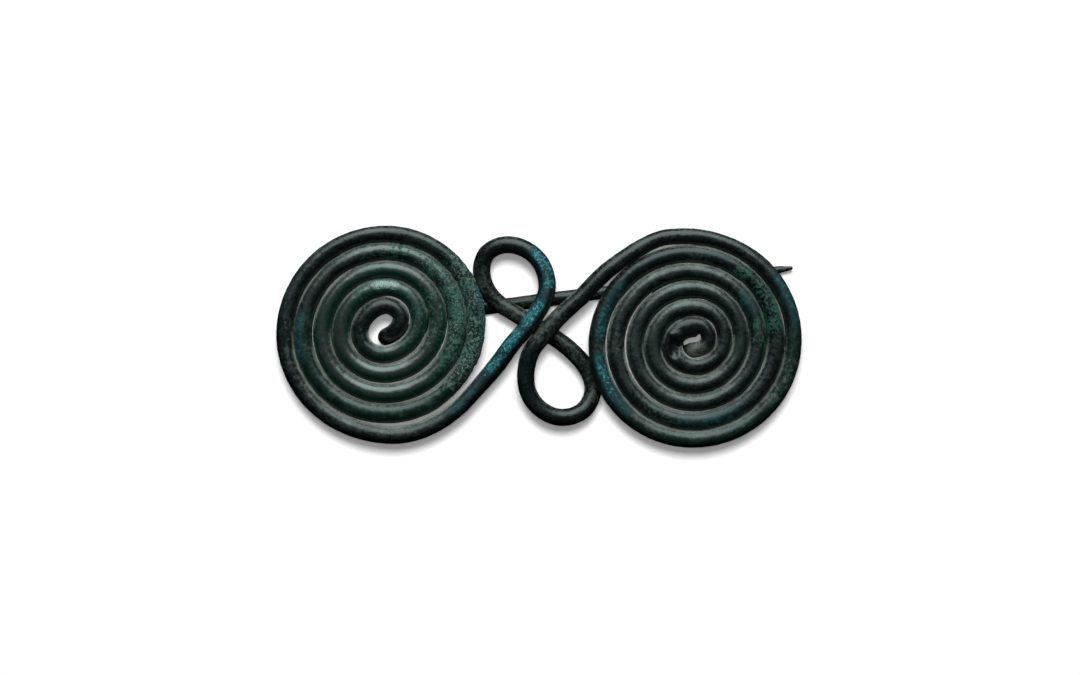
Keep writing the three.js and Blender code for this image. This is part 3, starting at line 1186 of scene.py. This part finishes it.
@dataclass
class FibulaWire:
    """The whole brooch: one wire, carried along its course and dressed with its patina.

    Attributes:
        pin: The pin.
        relief: Unevenness of its surface.
        hollow: The flaw by the right eye.
        weathering: Wear and dirt, the dirt laid mostly on the sides facing the top softbox as painted
            light.
        finish: The patina's material.
        side_count: Vertices in a ring.
        cap_rings: Rings of each rounded end.
        cap_reach: Length of a rounded end, in half thicknesses.
        strand_hold: How well dirt holds on the strands, where it is 1 between turns.
        rim_turns: Turns before the last where the rim starts, and is whole.
        rim_side: Part of the outward direction away from a disc where that side starts, and is whole.
        hold_blend: Rings over which these are evened out.
        streak_stretch: Scale of the place on the wire for the streaks, which draws them out along it.
        table_level: Height of the surface that the brooch lies on.
        left_disc: The left spiral. The other stretches follow, then the stains.
    """

    pin: Pin = field(default_factory=Pin)
    relief: Relief = field(default_factory=Relief)
    hollow: Hollow = field(default_factory=Hollow)
    weathering: Weathering = field(default_factory=Weathering)
    finish: PatinaFinish = field(default_factory=PatinaFinish)
    side_count: int = 28
    cap_rings: int = 5
    cap_reach: float = 0.5
    strand_hold: float = 0.45
    rim_turns: Pair = (1.1, 0.9)
    rim_side: Pair = (-0.1, 0.3)
    hold_blend: float = 25.0
    streak_stretch: Direction = (0.25, 1.0, 1.0)
    table_level: float = 0.0

    left_disc: Disc = Disc(
        name="left disc",
        centre=(-31.19, 2.68),
        drift=(0.082, -0.205),
        eye_radius=2.93,
        pitch=3.79,
        pitch_growth=0.008,
        oval=(-0.04, 0.48),
        oval_change=(0.041, -0.056),
        wire_radii=(1.62, 1.7, 1.7, 1.7, 1.55, 1.6),
        slips=(Slip(0.42, 0.2, -0.3), Slip(4.785, 0.06, 0.55)),
        first_turn=0.2,
        last_turn=4.9,
        gaps=(
            Gap(0.52, 0.66, 0.2),
            Gap(0.9, 1.06, 0.16),
            Gap(1.6, 2.06, 0.3),
            Gap(2.33, 2.44, 0.28),
            Gap(2.4, 2.62, 0.24),
            Gap(2.6, 2.74, 0.13),
            Gap(2.76, 3.0, 0.1),
        ),
        widest=1.93,
    )
    right_disc: Disc = Disc(
        name="right disc",
        centre=(30.8, -0.63),
        drift=(-0.141, -0.053),
        eye_radius=3.06,
        pitch=3.18,
        pitch_growth=0.067,
        oval=(-0.13, 0.27),
        oval_change=(0.053, -0.05),
        wire_radii=(1.53, 1.5, 1.56, 1.62, 1.66, 1.56),
        slips=(
            Slip(0.27, 0.15, -0.85),
            Slip(0.72, 0.13, -0.6),
            Slip(1.25, 0.15, -0.4),
            Slip(5.2, 0.1, -0.3),
        ),
        eye_swell=0.85,
        first_turn=0.1,
        last_turn=5.3,
        gaps=(
            Gap(1.19, 1.24, 0.15),
            Gap(2.3, 2.88, 0.26),
            Gap(3.09, 3.16, 0.16),
            Gap(3.38, 3.66, 0.22),
            Gap(4.01, 4.08, 0.15),
        ),
        widest=1.88,
    )
    left_eye: Bends = Bends(
        "left eye",
        (
            (-24.6, 2.0, -9.0),
            (-28.2, 0.1, -8.8),
            (-30.4, -0.1, -7.0),
            (-31.0, 0.1, -4.3),
            (-30.7, 0.4, -2.0),
            (-29.4, 1.0, -0.5),
            (-28.2, 2.3, 0.0),
            (-27.75, 4.5, 0.0),
        ),
        radius=1.6,
    )
    right_eye: Bends = Bends(
        "right eye",
        (
            (33.8, -0.2, 0.0),
            (33.4, -1.4, 0.0),
            (32.5, -2.15, -0.1),
            (31.4, -2.4, -0.7),
            (30.5, -2.55, -2.0),
        ),
        radius=1.55,
    )
    first_strand: Bends = Bends(
        "first strand",
        (
            (-8.3, -5.1, 0.3),
            (-5.72, -1.52, 0.8),
            (-2.77, 1.85, 1.15),
            (-0.53, 5.08, 1.15),
            (1.1, 8.1, 1.0),
        ),
    )
    upper_loop: Bends = Bends(
        "upper loop",
        (
            (1.45, 11.2, 0.7),
            (0.35, 14.7, 0.3),
            (-1.9, 17.1, -0.1),
            (-5.0, 18.5, -0.5),
            (-8.2, 18.4, -1.0),
            (-10.8, 16.7, -1.4),
            (-11.7, 13.6, -1.9),
            (-10.8, 9.9, -2.3),
            (-8.5, 7.1, -2.45),
        ),
    )
    middle_strand: Bends = Bends(
        "middle strand",
        (
            (-5.5, 5.2, -2.4),
            (-1.3, 2.6, -2.4),
            (3.1, -0.1, -2.4),
            (6.9, -3.1, -2.55),
        ),
    )
    lower_loop: Bends = Bends(
        "lower loop",
        (
            (9.8, -6.8, -2.85),
            (10.7, -10.4, -2.75),
            (9.3, -14.0, -2.0),
            (6.5, -15.7, -1.2),
            (3.1, -15.8, -0.7),
            (-0.2, -14.0, -0.2),
            (-2.3, -11.0, 0.2),
            (-2.8, -7.0, 0.6),
        ),
    )
    last_strand: Bends = Bends(
        "last strand",
        (
            (-1.67, -2.64, 1.0),
            (0.93, 0.66, 1.15),
            (3.5, 3.8, 1.15),
            (8.25, 8.15, 1.0),
            (13.75, 13.6, 0.8),
        ),
    )
    stains: tuple[Stain, ...] = (
        *stains(Tone.TURQUOISE, "upper loop", (-0.12, 0.3, 0.9, (0.3, 0.2, 1.0))),
        *stains(Tone.TURQUOISE, "first strand", (-0.3, 1.2, 0.92, (-0.25, 0.3, 1.0))),
        *stains(
            Tone.TURQUOISE, "left disc",
            (1.0, 1.35, 0.3, (0.0, -0.2, 1.0)),
            (2.1, 2.4, 0.22),
            (3.0, 3.25, 0.2),
            (3.45, 3.58, 0.5, (-0.8, 0.2, 1.0)),
            (3.84, 4.18, 0.22),
            (3.95, 4.09, 0.7, (1.0, 0.0, 0.5)),
            (4.82, 5.0, 0.45, (0.0, 0.4, 1.0)),
        ),
        *stains(
            Tone.TURQUOISE, "right disc",
            (3.05, 3.14, 0.4),
            (3.68, 3.9, 0.35),
            (4.12, 4.4, 0.24, (0.0, 0.3, 1.0)),
            (4.36, 4.52, 0.6, (0.5, 0.2, 1.0)),
            (4.5, 4.66, 0.7, (0.3, 0.2, 1.0)),
            (5.0, 5.13, 0.55, (0.4, 0.4, 1.0)),
        ),
        *stains(
            Tone.GREEN, "left disc",
            (0.8, 1.5, 0.4), (1.9, 2.2, 0.35), (2.8, 3.35, 0.55), (3.8, 4.2, 0.5),
        ),
        *stains(Tone.GREEN, "right disc", (2.95, 3.2, 0.42), (3.6, 3.9, 0.3), (3.98, 4.22, 0.6)),
        *stains(Tone.CRUST, "left disc", (1.9, 2.12, 0.35), (2.86, 3.18, 0.3), (3.84, 4.16, 0.72)),
        *stains(Tone.BOTTLE, "left disc", (0.3, 3.5, 1.0), (3.3, 4.3, 0.6)),
        *stains(Tone.BOTTLE, "right disc", (0.4, 4.4, 0.3), (4.4, 5.2, 0.5)),
        # Worn metal on the side towards the top softbox, so the lit half of each turn shows pale and
        # shiny and the far half dark: partly a painted highlight.
        *stains(Tone.SHEEN, "left disc", (0.3, 4.1, 0.88, LIT_SIDE), (3.9, 5.2, 0.38, LIT_SIDE)),
        *stains(Tone.SHEEN, "right disc", (0.2, 4.5, 0.56, LIT_SIDE), (4.2, 5.6, 0.34, LIT_SIDE)),
        *stains(
            Tone.SPECK, "left disc",
            # The first, leaning towards the top softbox, is a painted highlight: a pale spot where the
            # turn shines. The others are pale specks in the crust.
            (1.17, 1.32, 0.42, (0.0, 0.5, 1.0)), (2.9, 3.25, 0.24), (3.85, 4.2, 0.25),
        ),
        *stains(Tone.SOIL, "pin", (-0.3, 1.3, 0.28)),
        *stains(Tone.SOIL, "upper loop", (0.4, 1.6, 0.27)),
        *stains(Tone.SOIL, "middle strand", (-0.6, 1.6, 0.33)),
        *stains(Tone.SOIL, "lower loop", (-0.6, 0.45, 0.3)),
        *stains(Tone.SOIL, "last strand", (0.0, 0.7, 0.33)),
        *stains(Tone.SOIL, "right disc", (4.88, 5.0, 0.3)),
        *stains(Tone.SOIL, "right eye", (-0.1, 2.1, 0.55)),
        *stains(Tone.SOIL, "catch", (-0.25, 0.3, 0.55)),
    )

    def discs(self) -> tuple[Disc, Disc]:
        """Returns both discs."""
        return self.left_disc, self.right_disc

    def stretches(self) -> tuple[Stretch, ...]:
        """Lists the stretches of the wire in order. The right disc runs from its rim to its eye.

        Returns:
            The stretches, from the pin's tip to the catch's hook.
        """
        before = (
            self.pin, self.left_eye, self.left_disc, self.first_strand, self.upper_loop,
            self.middle_strand, self.lower_loop, self.last_strand,
        )
        return (
            *(each.stretch() for each in before),
            self.right_disc.stretch().turned_round(),
            self.right_eye.stretch(),
            Catch(self.pin).stretch(),
        )

    def on_stretch(self, rings: Rings, name: str) -> np.ndarray:
        """Returns which rings belong to the stretch with a name."""
        names = [each.name for each in self.stretches()]
        return rings.stretch_index == names.index(name)

    def capped(self, rings: Rings) -> Rings:
        """Adds rings that close in towards each end along a quarter of an ellipse.

        Args:
            rings: Rings of the open wire.

        Returns:
            The same rings, with the caps before and after them.
        """
        count = self.cap_rings
        angles = np.arange(1, count + 1) / (count + 1) * (TURN / 4)

        def grown(values: np.ndarray) -> np.ndarray:
            """Returns an array with its end rows repeated for the caps."""
            ends = (np.repeat(values[:1], count, axis=0), np.repeat(values[-1:], count, axis=0))
            return np.concatenate([ends[0], values, ends[1]])

        centres = grown(rings.centres)
        tangents = grown(rings.tangents)
        sections = grown(rings.sections)
        start_reach = self.cap_reach * rings.sections[0, :2].min()
        end_reach = self.cap_reach * rings.sections[-1, :2].min()
        centres[:count] -= tangents[:count] * (start_reach * np.sin(angles[::-1]))[:, None]
        centres[-count:] += tangents[-count:] * (end_reach * np.sin(angles))[:, None]
        sections[:count, :2] *= np.cos(angles[::-1])[:, None]
        sections[-count:, :2] *= np.cos(angles)[:, None]
        return Rings(
            centres=centres,
            tangents=tangents,
            sides=grown(rings.sides),
            sections=sections,
            stretch_index=grown(rings.stretch_index),
            places=grown(rings.places),
            along=grown(rings.along),
        )

    def surface(self, rings: Rings) -> tuple[np.ndarray, np.ndarray, np.ndarray]:
        """Carries the section along the course.

        A point of the section lies at half width times the cosine and half thickness times the sine
        of its angle, each raised to two parts in the squareness. Its outward direction follows the
        slope of that superellipse.

        Args:
            rings: Rings with their caps.

        Returns:
            Points, outward directions and wire places, each of shape (rings, sides, 3).
        """
        angles = (np.arange(self.side_count) + 0.5) / self.side_count * TURN
        width, thickness, squareness = (rings.sections[:, part, None] for part in range(3))
        sides = rings.sides[:, None, :]
        ups = np.cross(rings.tangents, rings.sides)[:, None, :]
        cosine, sine = np.cos(angles)[None, :], np.sin(angles)[None, :]
        power = 2.0 / squareness
        across = np.sign(cosine) * np.abs(cosine) ** power
        above = np.sign(sine) * np.abs(sine) ** power
        offsets = (across * width)[..., None] * sides + (above * thickness)[..., None] * ups
        for disc in self.discs():
            own = self.on_stretch(rings, disc.name)
            offsets[own] = self.pressed(disc, rings, own, offsets[own])
        points = rings.centres[:, None, :] + offsets
        slope_across = np.sign(cosine) * np.abs(across) ** (squareness - 1.0) / width
        slope_above = np.sign(sine) * np.abs(above) ** (squareness - 1.0) / thickness
        normals = unit(slope_across[..., None] * sides + slope_above[..., None] * ups)
        along = np.broadcast_to(rings.along[:, None], across.shape)
        wire_places = np.stack([along, across * width, above * thickness], axis=-1)
        return points, normals, wire_places

    def pressed(self, disc: Disc, rings: Rings, own: np.ndarray, offsets: np.ndarray) -> np.ndarray:
        """Stretches the section of a disc's wire level and square to the wire.

        Its outer half is scaled to the reach outwards, and its inner half to the reach inwards.

        Args:
            disc: The disc.
            rings: All rings.
            own: Which of them are the disc's.
            offsets: Vertices of its rings from their centres, of shape (rings, sides, 3).

        Returns:
            The changed offsets.
        """
        turns = rings.places[own]
        radii = rings.sections[own, 0]
        outwards, inwards = disc.reaches(turns, radii)
        level_way = unit(np.cross(rings.tangents[own], UP))
        from_middle = rings.centres[own] - (*disc.centre, disc.level)
        level_way *= np.sign(np.sum(level_way * from_middle, axis=1))[:, None]
        depth = np.einsum("rsk,rk->rs", offsets, level_way)
        scale = np.where(depth > 0.0, outwards[:, None], inwards[:, None]) / radii[:, None]
        return offsets + (depth * (scale - 1.0))[..., None] * level_way[:, None, :]

    def tones(self, rings: Rings, points: np.ndarray, normals: np.ndarray) -> dict[Tone, np.ndarray]:
        """Densities of every tone: the stains on their stretches, then wear and dirt, and painted
        shade in the flaw's bowl.

        Args:
            rings: Rings with their caps.
            points: Vertices of the wire.
            normals: Their outward directions.

        Returns:
            An array of shape (rings, sides) for each tone.
        """
        cover = {tone: np.zeros(points.shape[:-1]) for tone in Tone}
        for stain in self.stains:
            own = self.on_stretch(rings, stain.stretch)
            density = stain.cover(rings.places[own], normals[own])
            cover[stain.tone][own] = np.maximum(cover[stain.tone][own], density)
        self.weathering.lay(cover, points, normals, self.shelter(rings, normals))
        # The worn metal is taken out of the flaw's bowl, so the bowl stays dark: painted shade in the
        # hollow.
        cover[Tone.SHEEN] -= self.hollow.sunk(points, normals)
        return cover

    def shelter(self, rings: Rings, normals: np.ndarray) -> np.ndarray:
        """How well dirt holds: fully between turns, less on strands and on a rim's outward side.

        Args:
            rings: Rings with their caps.
            normals: Outward directions, of shape (rings, sides, 3).

        Returns:
            Shares of shape (rings, sides), evened out along the wire.
        """
        held = np.full(normals.shape[:-1], self.strand_hold)
        for disc in self.discs():
            own = self.on_stretch(rings, disc.name)
            radial = unit(rings.centres[own] - (*disc.centre, disc.level))
            outwards = ease(np.sum(normals[own] * radial[:, None, :], axis=-1), *self.rim_side)
            rim = ease(rings.places[own], *(disc.last_turn - turns for turns in self.rim_turns))
            held[own] = 1.0 - (1.0 - self.strand_hold) * rim[:, None] * outwards
        return blur(held, self.hold_blend)

    def build(self) -> bpy.types.Object:
        """Makes the wire's mesh, with its relief, its ends closed and its tones as attributes.

        Returns:
            The finished object.
        """
        course = WireCourse(self.stretches(), self.pin.way())
        rings = self.capped(course.rings())
        points, normals, wire_places = self.surface(rings)
        tones = self.tones(rings, points, normals)
        heights = self.relief.heights(wire_places, points, tones[Tone.CRUST])
        heights = heights + self.hollow.heights(points, normals)
        points = points + normals * heights[..., None]
        points[..., 2] = np.maximum(points[..., 2], self.table_level)
        start_pole = points[0].mean(axis=0)
        end_pole = points[-1].mean(axis=0)
        vertices = np.concatenate([points.reshape(-1, 3), [start_pole, end_pole]])

        mesh = bpy.data.meshes.new(self.finish.name)
        mesh.from_pydata(to_metres(vertices).tolist(), [], self.faces(len(points)))
        mesh.polygons.foreach_set("use_smooth", np.ones(len(mesh.polygons), dtype=bool))
        self.write_attributes(mesh, tones, wire_places)
        mesh.update()
        mesh.materials.append(self.finish.material())
        piece = bpy.data.objects.new("bronze_wire", mesh)
        bpy.context.scene.collection.objects.link(piece)
        return piece

    def faces(self, ring_count: int) -> list[list[int]]:
        """Four-sided faces between neighbouring rings, and a fan of triangles at each pole.

        Args:
            ring_count: Number of rings, caps included.

        Returns:
            Vertex numbers of every face, so ordered that all faces point out.
        """
        ring = np.arange(ring_count - 1)[:, None] * self.side_count
        side = np.arange(self.side_count)[None, :]
        beside = (side + 1) % self.side_count
        near, far = ring, ring + self.side_count
        quads = np.stack([near + side, near + beside, far + beside, far + side], axis=-1)
        start_pole = ring_count * self.side_count
        last = (ring_count - 1) * self.side_count
        fan = np.arange(self.side_count)
        after = (fan + 1) % self.side_count
        start_fan = np.stack([after, fan, np.full_like(fan, start_pole)], axis=-1)
        end_fan = np.stack([last + fan, last + after, np.full_like(fan, start_pole + 1)], axis=-1)
        return quads.reshape(-1, 4).tolist() + start_fan.tolist() + end_fan.tolist()

    def write_attributes(
        self, mesh: bpy.types.Mesh, tones: dict[Tone, np.ndarray], wire_places: np.ndarray
    ) -> None:
        """Writes the tones and the place on the wire to the mesh, with the poles' mean values.

        Args:
            mesh: The wire's mesh.
            tones: Density of each tone at each vertex.
            wire_places: Distance along the wire and place round it, in mm.
        """
        for tone, values in tones.items():
            poles = [values[0].mean(), values[-1].mean()]
            layer = mesh.attributes.new(tone.value, "FLOAT", "POINT")
            layer.data.foreach_set("value", np.concatenate([values.ravel(), poles]).astype(np.float32))
        poles = np.stack([wire_places[0].mean(axis=0), wire_places[-1].mean(axis=0)])
        vectors = to_metres(np.concatenate([wire_places.reshape(-1, 3), poles]) * self.streak_stretch)
        layer = mesh.attributes.new(WIRE_PLACE, "FLOAT_VECTOR", "POINT")
        layer.data.foreach_set("vector", vectors.ravel().astype(np.float32))


@dataclass(frozen=True)
class PhotoCamera:
    """Camera straight above the brooch, far off with a long lens, so that it looks nearly flat."""

    image_width_px: float = 1080.0
    image_height_px: float = 675.0
    origin_px: tuple[float, float] = (539.8, 337.7)
    mm_per_px: float = 0.2
    lens_mm: float = 100.0
    sensor_mm: float = 36.0
    clip_mm: Pair = (50.0, 20000.0)
    focus_level: float = DISC_LEVEL

    def place(self) -> None:
        """Sets the camera so that one pixel is its size in mm at the level of the discs."""
        x = (0.5 * self.image_width_px - self.origin_px[0]) * self.mm_per_px
        y = (self.origin_px[1] - 0.5 * self.image_height_px) * self.mm_per_px
        field_width = self.image_width_px * self.mm_per_px
        height = self.focus_level + field_width * self.lens_mm / self.sensor_mm
        data = bpy.data.cameras.new("camera")
        data.lens = self.lens_mm
        data.sensor_width = self.sensor_mm
        data.sensor_fit = "HORIZONTAL"
        data.clip_start, data.clip_end = to_metres(np.array(self.clip_mm))
        camera = bpy.data.objects.new("camera", data)
        camera.location = to_metres(np.array([x, y, height]))
        bpy.context.scene.collection.objects.link(camera)
        bpy.context.scene.camera = camera


@dataclass(frozen=True)
class Lamp:
    """A soft area light, aimed at the middle of the brooch.

    Attributes:
        name: What it is.
        tilt: Angle off the vertical, towards +Y, in degrees.
        distance: How far off it stands, in mm.
        size: Width and depth of its panel, in mm.
        power: Its power in watts.
        lights: What it shines on.
        tint: Colour of its light.
    """

    name: str
    tilt: float
    distance: float
    size: tuple[float, float]
    power: float
    lights: Lights
    tint: tuple[float, float, float] = (1.0, 1.0, 1.0)

    def place(self, lit: dict[Lights, bpy.types.Collection]) -> None:
        """Hangs the lamp on its arc over the brooch, facing its middle.

        Args:
            lit: What each kind of lamp shines on.
        """
        data = bpy.data.lights.new(self.name, "AREA")
        data.shape = "RECTANGLE"
        data.size, data.size_y = to_metres(np.array(self.size))
        data.energy = self.power
        data.color = self.tint
        lamp = bpy.data.objects.new(self.name, data)
        tilt = math.radians(self.tilt)
        lamp.location = to_metres(self.distance * np.array([0.0, math.sin(tilt), math.cos(tilt)]))
        lamp.rotation_euler = (-tilt, 0.0, 0.0)
        lamp.light_linking.receiver_collection = lit[self.lights]
        bpy.context.scene.collection.objects.link(lamp)


@dataclass(frozen=True)
class Studio:
    """White floor that glows a little like a light table, a pale backdrop and the lamps."""

    floor_half: float = 2500.0
    floor_colour: tuple[float, ...] = colour(0.86, 0.86, 0.86)
    floor_glow: float = 0.11
    backdrop_colour: tuple[float, ...] = colour(0.95, 0.95, 0.95)
    lamps: tuple[Lamp, ...] = (
        Lamp("shadow lamp", tilt=10.6, distance=900.0, size=(160.0, 160.0), power=7.9,
             lights=Lights.FLOOR),
        Lamp("slit lamp", tilt=0.0, distance=590.0, size=(30.0, 30.0), power=0.65,
             lights=Lights.FLOOR),
        Lamp("top softbox", tilt=54.0, distance=1000.0, size=(1150.0, 1150.0), power=13.5,
             lights=Lights.BROOCH, tint=(0.82, 0.99, 0.98)),
    )

    def build(self, brooch: bpy.types.Object) -> None:
        """Makes the floor, the backdrop and the lamps, and keeps colours as they are rendered.

        Args:
            brooch: What the softbox shines on.
        """
        lit = {kind: bpy.data.collections.new(f"lit_{kind.value}") for kind in Lights}
        lit[Lights.BROOCH].objects.link(brooch)
        lit[Lights.FLOOR].objects.link(self.floor())
        world = bpy.data.worlds.new("backdrop")
        world.use_nodes = True
        world.node_tree.nodes["Background"].inputs["Color"].default_value = self.backdrop_colour
        world.cycles_visibility.diffuse = False
        world.cycles_visibility.glossy = False
        bpy.context.scene.world = world
        bpy.context.scene.view_settings.view_transform = "Standard"
        for lamp in self.lamps:
            lamp.place(lit)
            LOG.info("placed the %s", lamp.name)

    def floor(self) -> bpy.types.Object:
        """Makes the floor, a white square under the brooch.

        Returns:
            The floor.
        """
        half = self.floor_half * METRES_PER_MM
        corners = [(-half, -half, 0.0), (half, -half, 0.0), (half, half, 0.0), (-half, half, 0.0)]
        mesh = bpy.data.meshes.new("floor")
        mesh.from_pydata(corners, [], [(0, 1, 2, 3)])
        floor = bpy.data.objects.new("floor", mesh)
        bpy.context.scene.collection.objects.link(floor)
        material = bpy.data.materials.new("floor_white")
        material.use_nodes = True
        shader = material.node_tree.nodes["Principled BSDF"]
        shader.inputs["Base Color"].default_value = self.floor_colour
        shader.inputs["Roughness"].default_value = 1.0
        shader.inputs["Specular IOR Level"].default_value = 0.0
        shader.inputs["Emission Color"].default_value = colour(1.0, 1.0, 1.0)
        shader.inputs["Emission Strength"].default_value = self.floor_glow
        mesh.materials.append(material)
        floor.visible_diffuse = False
        floor.visible_glossy = False
        return floor


def main() -> None:
    """Builds the studio and the brooch."""
    logging.basicConfig(level=logging.INFO, format="%(name)s: %(message)s")
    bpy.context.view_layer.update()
    PhotoCamera().place()
    wire = FibulaWire().build()
    Studio().build(wire)
    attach(wire, BODY)
    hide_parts(CAD_NODE)
    LOG.info("built %s with %d faces", wire.name, len(wire.data.polygons))


if __name__ == "__main__":
    main()
